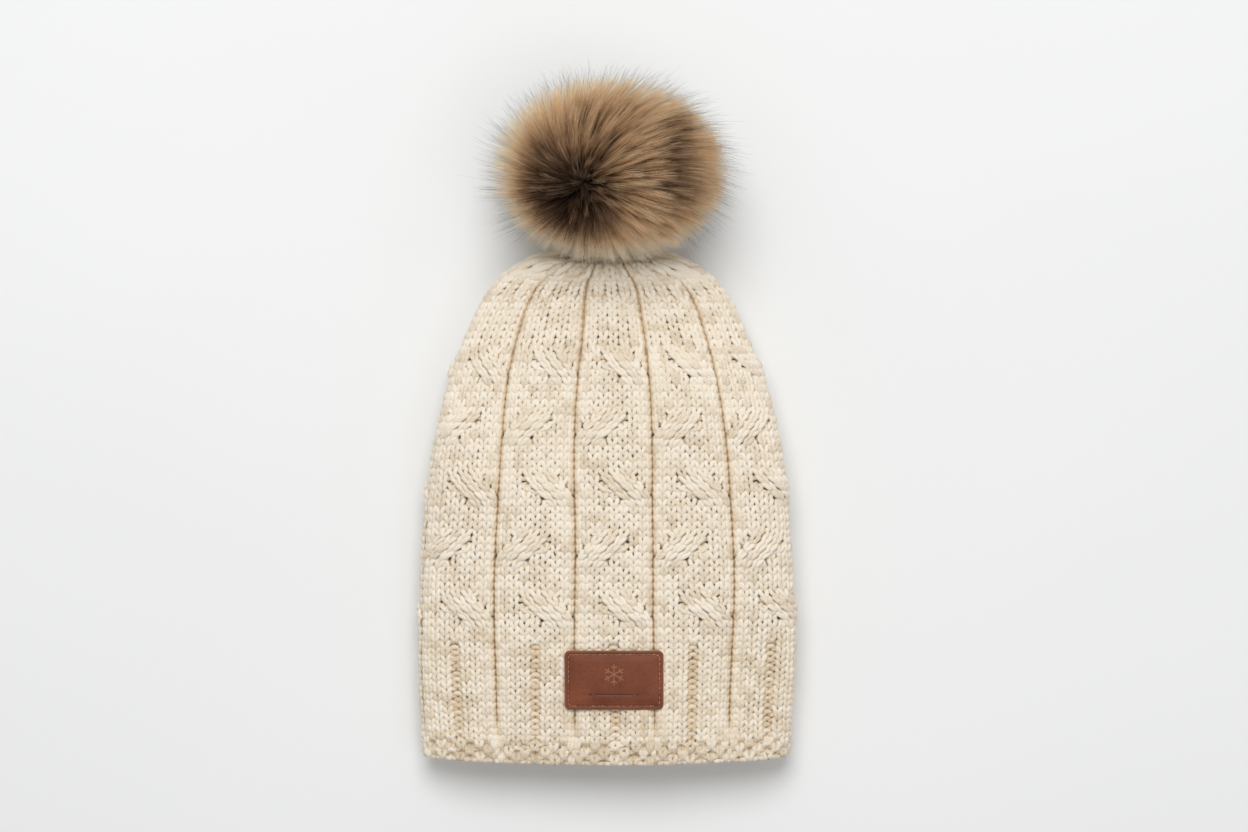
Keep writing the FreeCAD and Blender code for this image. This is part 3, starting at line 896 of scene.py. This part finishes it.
def patch_plan():
    """A grid over the patch with its corners rounded, and how far each point is from the edge."""
    u, v = np.meshgrid(np.linspace(-1, 1, PATCH_COLUMNS), np.linspace(-1, 1, PATCH_ROWS))
    half = PATCH_SIZE / 2
    flat_half = half - PATCH_CORNER
    x, y = u * half[0], v * half[1]
    over_x, over_y = np.maximum(np.abs(x) - flat_half[0], 0), np.maximum(np.abs(y) - flat_half[1], 0)
    length = np.maximum(np.hypot(over_x, over_y), 1e-9)
    in_corner = (over_x > 0) & (over_y > 0)
    pull = np.where(in_corner, np.maximum(over_x, over_y) / length, 1)
    from_sides = np.minimum(half[0] - np.abs(x), half[1] - np.abs(y))
    edge = np.where(in_corner, PATCH_CORNER - pull * length, from_sides)
    x = np.sign(x) * (np.minimum(np.abs(x), flat_half[0]) + over_x * pull)
    y = np.sign(y) * (np.minimum(np.abs(y), flat_half[1]) + over_y * pull)
    return x, y, edge


def patch_leather():
    m = Nodes("patch_leather", Roughness=0.5, Specular_IOR_Level=0.32, Coat_Weight=0.06, Coat_Roughness=0.3)
    cloud = m.ramp(m.noise(55.0, 3.0, 0.55), (0.3, (0.150, 0.036, 0.013)), (0.7, (0.235, 0.062, 0.023)))
    pores = m.ramp(m.noise(950.0, 2.0), (0.30, (0.72, 0.66, 0.62)), (0.45, (1.0, 1.0, 1.0)))
    colour = m.mix(1.0, cloud, pores, "MULTIPLY")
    colour = m.mix(m.attribute("pressed"), colour, (0.060, 0.016, 0.009))
    colour = m.mix(m.attribute("printed"), colour, (0.40, 0.17, 0.095))
    colour = m.mix(m.attribute("cut_edge"), colour, (0.30, 0.115, 0.055))
    m.link(colour, "Base Color")
    m.bump(m.noise(700.0, 4.0, 0.7), 0.30, 0.0004)
    return m.material


def build_patch():
    """A sheet of leather with a rounded edge, a groove for its stitches and the mark pressed in."""
    x, y, edge = patch_plan()
    rounded = 0.6 * np.sqrt(np.clip(1 - (1 - np.clip(edge / 0.8, 0, 1)) ** 2, 0, 1))
    groove = 0.30 * np.exp(-((edge - PATCH_STITCH_INSET) / 0.55) ** 2)
    plump = 0.35 * smoothstep((edge - 2.6) / 4)
    mark = pressed_mark(x, y)
    height = PATCH_THICK - 0.6 + rounded - groove + plump - 0.38 * mark
    top = on_patch(x, y, height)
    back = on_patch(x, y, np.where(edge < 1e-6, PATCH_THICK - 0.75, 0.0))
    faces = grid_faces(PATCH_ROWS, PATCH_COLUMNS, around=False)
    count = x.size
    rim = grid_rim(PATCH_ROWS, PATCH_COLUMNS)
    after = np.roll(rim, -1)
    walls = np.stack([rim, rim + count, after + count, after], axis=1)
    faces = np.concatenate([faces[:, ::-1], faces + count, walls])
    plain = np.zeros(count)
    obj = add_mesh("leather_patch", np.concatenate([top.reshape(-1, 3), back.reshape(-1, 3)]), faces,
                   patch_leather(),
                   pressed=np.concatenate([0.75 * (mark * (y < -5)).ravel(), plain]),
                   printed=np.concatenate([0.6 * (mark * (y >= -5)).ravel(), plain]),
                   cut_edge=0.8 * np.concatenate([np.clip(1 - edge / 0.9, 0, 1).ravel(), plain + 1]))
    finish_piece(obj, "hat", "leather_patch")


def build_patch_stitches():
    """Stitches along a rounded rectangle inside the patch's edge."""
    half = PATCH_SIZE / 2 - PATCH_STITCH_INSET
    corner = 1.6
    outline = []
    for k, (sx, sy) in enumerate(((1, 1), (-1, 1), (-1, -1), (1, -1))):
        for angle in np.linspace(k * TAU / 4, (k + 1) * TAU / 4, 7):
            outline.append((sx * (half[0] - corner) + corner * math.cos(angle),
                            sy * (half[1] - corner) + corner * math.sin(angle)))
    outline = np.array(outline + outline[:1])
    walked = np.concatenate([[0], np.cumsum(np.linalg.norm(np.diff(outline, axis=0), axis=1))])
    def along(share):
        at = (share % 1.0) * walked[-1]
        x, y = (np.interp(at, walked, outline[:, c]) for c in (0, 1))
        return on_patch(x, y, np.full(len(x), PATCH_THICK - 0.06))

    number = np.arange(PATCH_STITCHES)
    start, end = along((number + 0.12) / PATCH_STITCHES), along((number + 0.88) / PATCH_STITCHES)
    nought = np.zeros(PATCH_STITCHES)
    ups = unit(on_patch(nought, nought, nought + 1) - on_patch(nought, nought, nought))
    thread_piece("patch_stitching", "hat", "patch_stitching",
                 stitches(start, end, ups, 0.30), 0.21, np.repeat(ups, 2, axis=0)[:, None], PATCH_THREAD)


# ---------------------------------------------------------------- blank care label

LABEL_THICK = 0.28
LABEL_COLUMNS = 33
LABEL_ROWS = 49


def build_label():
    """A limp label that waves a little where it lies on the lining."""
    low, high = corner_mm("care_label", 0), corner_mm("care_label", 1)
    u, v = np.meshgrid(np.linspace(0, 1, LABEL_COLUMNS), np.linspace(0, 1, LABEL_ROWS))
    rise = 0.5 * np.sin(u * 4.0 + 0.6) * v + 1.1 * v ** 2 * np.sin(v * 3.0) + 0.25 * np.sin(7 * v + 3 * u)
    x = low[0] + u * (high[0] - low[0])
    y = low[1] + v * (high[1] - low[1])
    under = np.stack([x, y, low[2] + 0.4 + rise], axis=-1).reshape(-1, 3)
    over = under + np.array([0, 0, LABEL_THICK])
    faces = grid_faces(LABEL_ROWS, LABEL_COLUMNS, around=False)
    count = len(under)
    rim = grid_rim(LABEL_ROWS, LABEL_COLUMNS)
    after = np.roll(rim, -1)
    walls = np.stack([rim, after, after + count, rim + count], axis=1)
    m = Nodes("label_satin", Roughness=0.45, Specular_IOR_Level=0.4, Sheen_Weight=0.3, Sheen_Roughness=0.3)
    where = m.add("ShaderNodeMapping", {"Vector": m.place(), "Scale": (1.0, 6.0, 1.0)}).outputs["Vector"]
    weave = m.noise(900.0, 2.0, where=where)
    m.link(m.ramp(weave, (0.3, (0.76, 0.74, 0.70)), (0.7, (0.88, 0.87, 0.84))), "Base Color")
    m.bump(m.noise(1800.0, 2.0, where=where), 0.25, 0.0002)
    verts = np.concatenate([under, over])
    obj = add_mesh("care_label", verts, np.concatenate([faces, faces[:, ::-1] + count, walls]), m.material)
    finish_piece(obj, "hat", "care_label")


# ---------------------------------------------------------------- snap, felts, knot and cord

FELT_EDGE = 0.35
CORD_RING_RADIUS = 7.0
CORD_POINTS = 240
KNOT_POINTS = 640


def build_felts():
    """Two felt discs with rounded edges and a hole for the snap, each between two heights on its axis."""
    e = FELT_EDGE
    for node, body, low, high, radius, hole, material, slot in (
            ("crown_felt_disc", "hat", -8.4, -6.4, 8.0, 2.2, FELT, "felt"),
            ("pom_base_felt", "socket", 5.1, 6.7, 11.0, 2.0, BROWN_FELT, "pom_felt")):
        under = [(hole, low + e), (hole + e, low), (radius / 2, low), (radius - e, low), (radius, low + e)]
        over = [(r, low + high - height) for r, height in reversed(under)]
        profile = under + [(radius + 0.1, (low + high) / 2)] + over + under[:1]
        lathe(node, body, node, profile, material, segments=120, rough=0.02)


def build_neck_knot():
    """Thread wound round and round into a small ball: two layers of turns that drift round the axis."""
    paths = []
    t = np.arange(KNOT_POINTS) / KNOT_POINTS * TAU
    for radius, turns, lean in ((3.45, 13, 0.0), (2.6, 11, 0.9)):
        spin = t + lean
        along = radius * np.cos(turns * t)
        out = radius * np.sin(turns * t)
        paths.append(on_axis(out * np.cos(spin), out * np.sin(spin), along) + (NECK - CROWN))
    thread_piece("pom_neck_knot", "neck", "pom_neck_knot", paths, 0.5, AXIS + 0.3 * ACROSS,
                 BROWN_THREAD, sides=8, closed=True)


def build_drawcord():
    middle = (corner_mm("pom_drawcord", 0) + corner_mm("pom_drawcord", 1)) / 2
    angle = np.arange(CORD_POINTS)[:, None] / CORD_POINTS * TAU
    ring = middle + CORD_RING_RADIUS * (np.cos(angle) * ACROSS + np.sin(angle) * UPWARD)
    plies = twist(ring, AXIS, 0.36, 22, plies=3)
    thread_piece("pom_drawcord", "pom", "pom_drawcord", plies, 0.34, AXIS, BROWN_THREAD,
                 sides=6, closed=True)


def paint_snap():
    """The snap's metal pieces stay as they are in CAD and only get their metal."""
    metals = {"stud_cap": BRASS, "snap_stud": BRASS, "snap_socket": BRASS, "socket_cap": BRASS,
              "snap_spring": STEEL}
    for node, material in metals.items():
        mesh = frame["nodes"][node].data
        mesh.materials.clear()
        mesh.materials.append(material)


def squash(points, length=POM_SQUASH):
    """Shortens the pom along the snap's axis."""
    along = (points - POM_MIDDLE) @ AXIS
    return points - (1 - length) * along[..., None] * AXIS


# ---------------------------------------------------------------- stuffed core of the pom

CORE_SWELL = 3.0           # the most that the filling moves the cloth
CORE_GAP = 0.3             # the core stays this far inside its CAD solid
CORE_FRAMES = 20


def fill_by_simulation(obj, gathered_points):
    """Where a short cloth simulation with pressure moves the shell's points, in metres."""
    gathered = obj.vertex_groups.new(name="gathered")
    gathered.add(gathered_points, 1.0, "REPLACE")
    cloth = obj.modifiers.new("cloth", "CLOTH")
    cloth.settings.quality = 4
    cloth.settings.vertex_group_mass = "gathered"
    cloth.settings.use_pressure = True
    cloth.settings.uniform_pressure_force = 4.0
    cloth.settings.effector_weights.gravity = 0
    cloth.settings.tension_stiffness = 30
    cloth.settings.bending_stiffness = 1.5
    cloth.collision_settings.use_collision = False
    for step in range(1, CORE_FRAMES + 1):
        bpy.context.scene.frame_set(step)
    swollen = obj.evaluated_get(bpy.context.evaluated_depsgraph_get()).to_mesh()
    end = np.zeros(len(obj.data.vertices) * 3)
    swollen.vertices.foreach_get("co", end)
    obj.modifiers.clear()
    obj.vertex_groups.clear()
    bpy.context.scene.frame_set(1)
    return end.reshape(-1, 3)


def build_core():
    """The core's cloth shell, filled by a short pressure simulation and gathered at the drawcord."""
    shell = bmesh.new()
    bmesh.ops.create_icosphere(shell, subdivisions=5, radius=POM_CORE - CORE_SWELL)
    mesh = bpy.data.meshes.new("pom_core")
    shell.to_mesh(mesh)
    shell.free()
    place = np.zeros(len(mesh.vertices) * 3)
    mesh.vertices.foreach_get("co", place)
    place = place.reshape(-1, 3)
    way = unit(place)
    along = way @ AXIS
    seam = np.abs(np.sin(2 * np.arctan2(way @ UPWARD, way @ ACROSS)))
    seams = 0.035 * np.exp(-(seam / 0.08) ** 2)
    gather = 0.10 * np.exp(-((along + 1) / 0.03) ** 2)
    place = place * (1 - seams - gather)[:, None]
    place = squash(POM_MIDDLE + place) - POM_MIDDLE
    mesh.vertices.foreach_set("co", ((POM_MIDDLE + place) * MM).ravel())
    obj = bpy.data.objects.new("pom_core", mesh)
    bpy.context.scene.collection.objects.link(obj)
    start = (POM_MIDDLE + place) * MM
    end = fill_by_simulation(obj, [int(i) for i in np.nonzero(along < -0.96)[0]])
    move = end - start
    size = np.linalg.norm(move, axis=1, keepdims=True)
    start = start + move * np.minimum(1, CORE_SWELL * MM / np.maximum(size, 1e-9))
    from_middle = start / MM - POM_MIDDLE
    stretched = from_middle + (1 / POM_SQUASH - 1) * (from_middle @ AXIS)[:, None] * AXIS
    reach = np.linalg.norm(stretched, axis=1, keepdims=True)
    start = (POM_MIDDLE + from_middle * np.minimum(1, (POM_CORE - CORE_GAP) / reach)) * MM
    mesh.vertices.foreach_set("co", start.ravel())
    mesh.polygons.foreach_set("use_smooth", np.full(len(mesh.polygons), True))
    mesh.materials.append(cloth_material("fur_backing", (0.035, 0.02, 0.012), (0.085, 0.05, 0.03), 520.0))
    finish_piece(obj, "pom", "pom_stuffing")


# ---------------------------------------------------------------- fur pom

FUR_LEVELS = 6
FUR_SIDES = 3
FUR_PIECES = 8
STRANDS_PER_PIECE = 6200
CLUMPS = 2600
GUARD_HAIRS = 6400
WHORL = unit(np.array([-0.47, -0.46, 0.75]))   # where the pile parts, left of and below the top
POM_CEILING = corner_mm("pom_fur", 1)[2] + 11.0
ROOT_DEPTH = 2.0           # how deep the hairs start in the core
HIDDEN_ROOT_SHARE = 0.22   # how much of a hair's rise its lay takes away
BAND_PLACE = 0.40          # how far to the right the darker band starts
BAND_WIDTH = 0.10
BAND_DARK = 0.26
PATCHES = 0.07             # slow changes of shade over the pom
TONE_SPAN = 0.44           # difference between the darkest and the palest hairs
GOLD_TIP = 0.72            # the shade that the tips of guard hairs keep to, away from the rim


def directions(count):
    return unit(random.normal(0, 1, (count, 3)))


def push_out_of_hat(points):
    """Moves points that lie inside the crown out to its surface."""
    at = np.clip(points[..., 1] - OPENING_Y, 0, BODY_LENGTH + 4)
    a, b, middle, _ = (column.reshape(at.shape) for column in smooth_columns(station_rows(), at.ravel()).T)
    x = points[..., 0] / (a + 0.8)
    z = (points[..., 2] - middle) / (b + 0.8)
    measure = np.sqrt(x ** 2 + z ** 2)
    inside = (measure < 1) & (points[..., 1] < CROWN[1] + 2)
    scale = np.where(inside, 1 / np.maximum(measure, 0.25), 1)
    points[..., 0] *= scale
    points[..., 2] = middle + (points[..., 2] - middle) * scale
    return points


def comb(normal, length, bend):
    """Points along hairs that leave the pom's core at each normal and lie away from the whorl."""
    facing = (normal @ WHORL)[:, None]
    away = unit(normal * facing - WHORL)
    round_whorl = np.cross(normal, WHORL)
    angle = np.arccos(np.clip(facing, -1, 1))
    lay = bend[:, None] * (0.3 + 0.7 * smoothstep(angle / 0.9)) * (1 - 0.75 * smoothstep(angle - 1.3))
    turn = np.arctan2(normal @ UPWARD, normal @ ACROSS)
    swirl = (0.16 + 0.30 * np.sin(turn + 0.9) + 0.10 * np.sin(3 * turn))[:, None, None]
    t = np.linspace(0, 1, FUR_LEVELS)[None, :, None]
    reach = length[:, None, None]
    out = normal[:, None, :] * (t - HIDDEN_ROOT_SHARE * lay[..., None] * t ** 2)
    over = away[:, None, :] * lay[..., None] * t ** 1.6 + round_whorl[:, None, :] * swirl * t ** 2
    return POM_MIDDLE + normal[:, None, :] * (POM_CORE - ROOT_DEPTH) + reach * (out + over), angle


def hair_mesh(name, points, thickness, shade, tone, material):
    """Tapered three-sided hairs."""
    count = len(points)
    t = np.linspace(0, 1, FUR_LEVELS)
    radius = thickness[:, None] / 2 * (1 - 0.9 * t ** 1.5)[None, :]
    guide = np.broadcast_to(directions(count)[:, None, :], points.shape)
    rings = tube_rings(points, radius, guide, FUR_SIDES, False)
    faces = tube_faces(count, FUR_LEVELS, FUR_SIDES, False)
    obj = add_mesh(name, rings, faces, material,
                   shade=np.repeat(shade.ravel(), FUR_SIDES),
                   tone=np.repeat(np.repeat(tone, FUR_LEVELS), FUR_SIDES))
    return finish_piece(obj, "pom", "pom_fur")


def keep_in_reach(points):
    """Hairs lie on the floor and on the crown, and not above the pom's own top."""
    points = push_out_of_hat(squash(points, FUR_SQUASH))
    lift = 0.4 + 1.2 * random.random(points.shape[:2])
    points[..., 2] = np.where(points[..., 2] < lift, lift, points[..., 2])
    points[..., 2] = np.minimum(points[..., 2], POM_CEILING - 2 * random.random(points.shape[:2]))
    return points


def fur_shade(normal, angle, tone, share_of_tip):
    """0 at the dark roots, 1 at the pale tips, with the darker band on the pom's right."""
    t = np.linspace(0, 1, FUR_LEVELS)[None, :]
    x, y, z = normal.T
    band = np.exp(-((x - BAND_PLACE) / BAND_WIDTH) ** 2) * smoothstep((0.72 - np.abs(y - 0.16)) / 0.3)
    fair = 0.10 * np.exp(-((x - 0.06) / 0.18) ** 2)
    patches = PATCHES * np.sin(5 * x + 3 * y) * np.sin(4 * z + 1)
    rim = smoothstep((0.70 - z) / 0.36)
    from_whorl = 0.22 * smoothstep((angle[:, 0] - 0.1) / 0.7)
    # partly painted light: hairs next to the crown are painted lighter, partly against the shade that falls
    # under the pom
    by_crown = 0.12 * smoothstep((-0.35 - normal @ AXIS) / 0.4)
    base = from_whorl + 0.32 * rim - BAND_DARK * band + fair + patches + by_crown + TONE_SPAN * (tone - 0.5)
    tip = share_of_tip * (0.54 + 0.20 * smoothstep(angle / 0.8) + 0.26 * rim[:, None])
    return np.clip(base[:, None] + tip * t ** 1.1, 0, 1)


def fur_material(name, stops):
    m = Nodes(name, Roughness=0.55, Specular_IOR_Level=0.22, Sheen_Weight=0.03, Sheen_Roughness=0.4)
    streak = m.math("MULTIPLY", m.math("SUBTRACT", m.noise(220.0, 2.0), 0.5), 0.12)
    shade = m.math("ADD", m.attribute("shade"), streak)
    colour = m.ramp(shade, *stops)
    pale = m.math("MULTIPLY", m.math("GREATER_THAN", m.attribute("tone"), 0.80), 0.5)
    colour = m.mix(pale, colour, (0.75, 0.58, 0.42))
    m.link(colour, "Base Color")
    return m.material


def build_fur():
    """The pile in clumps, and over it longer guard hairs whose tips are dark round the rim."""
    pile = fur_material("fur_pile", [
        (0.10, (0.030, 0.012, 0.005)), (0.32, (0.125, 0.058, 0.026)), (0.52, (0.40, 0.225, 0.115)),
        (0.68, (0.84, 0.54, 0.29)), (0.84, (1.0, 0.76, 0.46)), (1.0, (1.0, 0.91, 0.74))])
    guard = fur_material("fur_guard", [
        (0.20, (0.06, 0.030, 0.016)), (0.50, (0.70, 0.48, 0.28)), (0.74, (0.86, 0.68, 0.46)),
        (0.84, (0.30, 0.22, 0.16)), (0.95, (0.06, 0.048, 0.042))])
    clump_normal = directions(CLUMPS)
    clump_length = random.uniform(31, 38, CLUMPS)
    clump_bend = random.uniform(0.45, 0.9, CLUMPS)
    clump_points, _ = comb(clump_normal, clump_length, clump_bend)
    t = np.linspace(0, 1, FUR_LEVELS)[None, :, None]

    def strands(count, length, bend, pull, stray):
        normal = directions(count)
        points, angle = comb(normal, length, bend)
        nearest = np.argmax(normal @ clump_normal.T, axis=1)
        points = points + (clump_points[nearest] - points) * pull * t ** 1.1
        points = points + directions(count)[:, None, :] * stray * t ** 2
        return normal, keep_in_reach(points), angle, nearest

    for k in range(FUR_PIECES):
        count = STRANDS_PER_PIECE
        normal, points, angle, nearest = strands(
            count, random.uniform(26, 38, count), random.uniform(0.45, 0.9, count), 0.72, 1.9)
        tone = 0.4 * random.random(count) + 0.6 * ((nearest * 0.618) % 1)
        hair_mesh("fur_pile_%d" % k, points, random.uniform(0.22, 0.36, count),
                  fur_shade(normal, angle, tone, 0.66), tone, pile)
    normal, points, angle, _ = strands(
        GUARD_HAIRS,
        36 + 15 * random.random(GUARD_HAIRS) + 12 * random.random(GUARD_HAIRS) ** 7,
        random.uniform(0.2, 0.6, GUARD_HAIRS), 0.35, 4.5)
    tone = 0.7 * random.random(GUARD_HAIRS)
    over_crown = (np.abs(normal[:, 0]) < 0.62) & (normal @ AXIS < -0.35)
    outward = smoothstep((0.80 - normal[:, 2]) / 0.3) * ~over_crown
    shade = fur_shade(normal, angle, tone, 0.66)
    outward = outward[:, None]
    dark_tips = shade[:, -2:] * (1 - outward) + outward * np.array([0.86, 1.0])
    shade = np.minimum(shade, GOLD_TIP)
    shade[:, -2:] = np.where(outward < 0.5, np.minimum(dark_tips, GOLD_TIP), dark_tips)
    hair_mesh("fur_guard_hairs", points, random.uniform(0.14, 0.22, GUARD_HAIRS), shade, tone, guard)


# ---------------------------------------------------------------- loose fibres of the yarn

FIBRES = 15000
HEM_FIBRES = 0.22          # share of the fibres that are at the hem
FIBRE_RADIUS = 0.055


def build_fuzz():
    """Short fibres that stand off the yarn, thickest at the hem."""
    count = FIBRES
    share = random.random(count)
    distance = np.where(random.random(count) < HEM_FIBRES, 9 * random.random(count) - 1.5,
                        (BODY_LENGTH - 6) * random.random(count))
    point, normal = KNIT_SURFACE.at(share, distance)
    root = point + normal * random.uniform(0.2, 2.2, (count, 1)) * (point[:, 2:] > 6)
    by_patch = np.abs(point - PATCH_MIDDLE)[:, :2] < (PATCH_SIZE / 2 + 3)
    clear = ~(by_patch.all(axis=1) & (point[:, 2] > 20))
    root, normal, count = root[clear], normal[clear], int(clear.sum())
    t = np.linspace(0, 1, 4)[None, :, None]
    way = unit(random.normal(0, 1, (count, 1, 3)) + 0.7 * normal[:, None])
    curl = random.normal(0, 1, (count, 1, 3))
    length = random.uniform(1.6, 4.2, (count, 1, 1))
    path = root[:, None] + length * (way * t + 0.35 * curl * np.sin(t * 2.6) * t)
    path[..., 2] = np.maximum(path[..., 2], 0.3)
    verts, faces = closed_tubes(path, FIBRE_RADIUS * (1 - 0.5 * t[..., 0]), normal[:, None], 3, False)
    fibres = add_mesh("knit_fuzz", verts, faces, KNIT_YARN,
                      tone=np.full(len(verts), 0.7), recess=np.zeros(len(verts)))
    finish_piece(fibres, "hat", "knit_shell")


build_core()
build_lining()
build_lining_stitches()
build_back_seam()
build_crown_gather()
build_patch()
build_patch_stitches()
build_label()
build_felts()
build_neck_knot()
build_drawcord()
paint_snap()
build_fur()
build_fuzz()


# ---------------------------------------------------------------- floor, light, camera

VIEW_WIDTH = 0.699         # metres that the picture is wide, at the middle of the hat's height
VIEW_CENTRE = (0.0098, (OPENING_Y + 192.7) * MM)
CAMERA_HEIGHT = 2.2
HAT_MIDDLE_HEIGHT = 0.045
FLOOR_HALF = 6000.0


def build_stage():
    m = Nodes("floor_paper", Roughness=0.9, Specular_IOR_Level=0.1)
    m.link(m.ramp(m.noise(3.0), (0.3, (0.885, 0.893, 0.890)), (0.7, (0.905, 0.912, 0.910))), "Base Color")
    verts = [(x * FLOOR_HALF, y * FLOOR_HALF, 0) for x, y in ((-1, -1), (1, -1), (1, 1), (-1, 1))]
    add_mesh("floor", verts, [(0, 1, 2, 3)], m.material, smooth=False)


def add_area_light(name, place, target, size, power):
    light = bpy.data.lights.new(name, "AREA")
    light.shape = "DISK"
    light.size = size
    light.energy = power
    obj = bpy.data.objects.new(name, light)
    obj.location = place
    obj.rotation_euler = (Vector(target) - Vector(place)).to_track_quat("-Z", "Y").to_euler()
    bpy.context.scene.collection.objects.link(obj)


def build_light():
    world = bpy.data.worlds.new("studio")
    world.use_nodes = True
    world.node_tree.nodes["Background"].inputs["Color"].default_value = (1.0, 1.0, 1.0, 1)
    world.node_tree.nodes["Background"].inputs["Strength"].default_value = 0.40
    bpy.context.scene.world = world
    add_area_light("key", (-0.10, 0.95, 1.95), (0, 0, 0), 1.4, 29)
    add_area_light("fill", (0.7, -0.5, 1.9), (0, 0, 0), 1.2, 3.6)


def build_camera():
    camera = bpy.data.cameras.new("camera")
    camera.sensor_width = 36
    camera.lens = camera.sensor_width * (CAMERA_HEIGHT - HAT_MIDDLE_HEIGHT) / VIEW_WIDTH
    obj = bpy.data.objects.new("camera", camera)
    obj.location = (*VIEW_CENTRE, CAMERA_HEIGHT)
    bpy.context.scene.collection.objects.link(obj)
    bpy.context.scene.camera = obj
    bpy.context.scene.view_settings.view_transform = "Standard"


build_stage()
build_light()
build_camera()
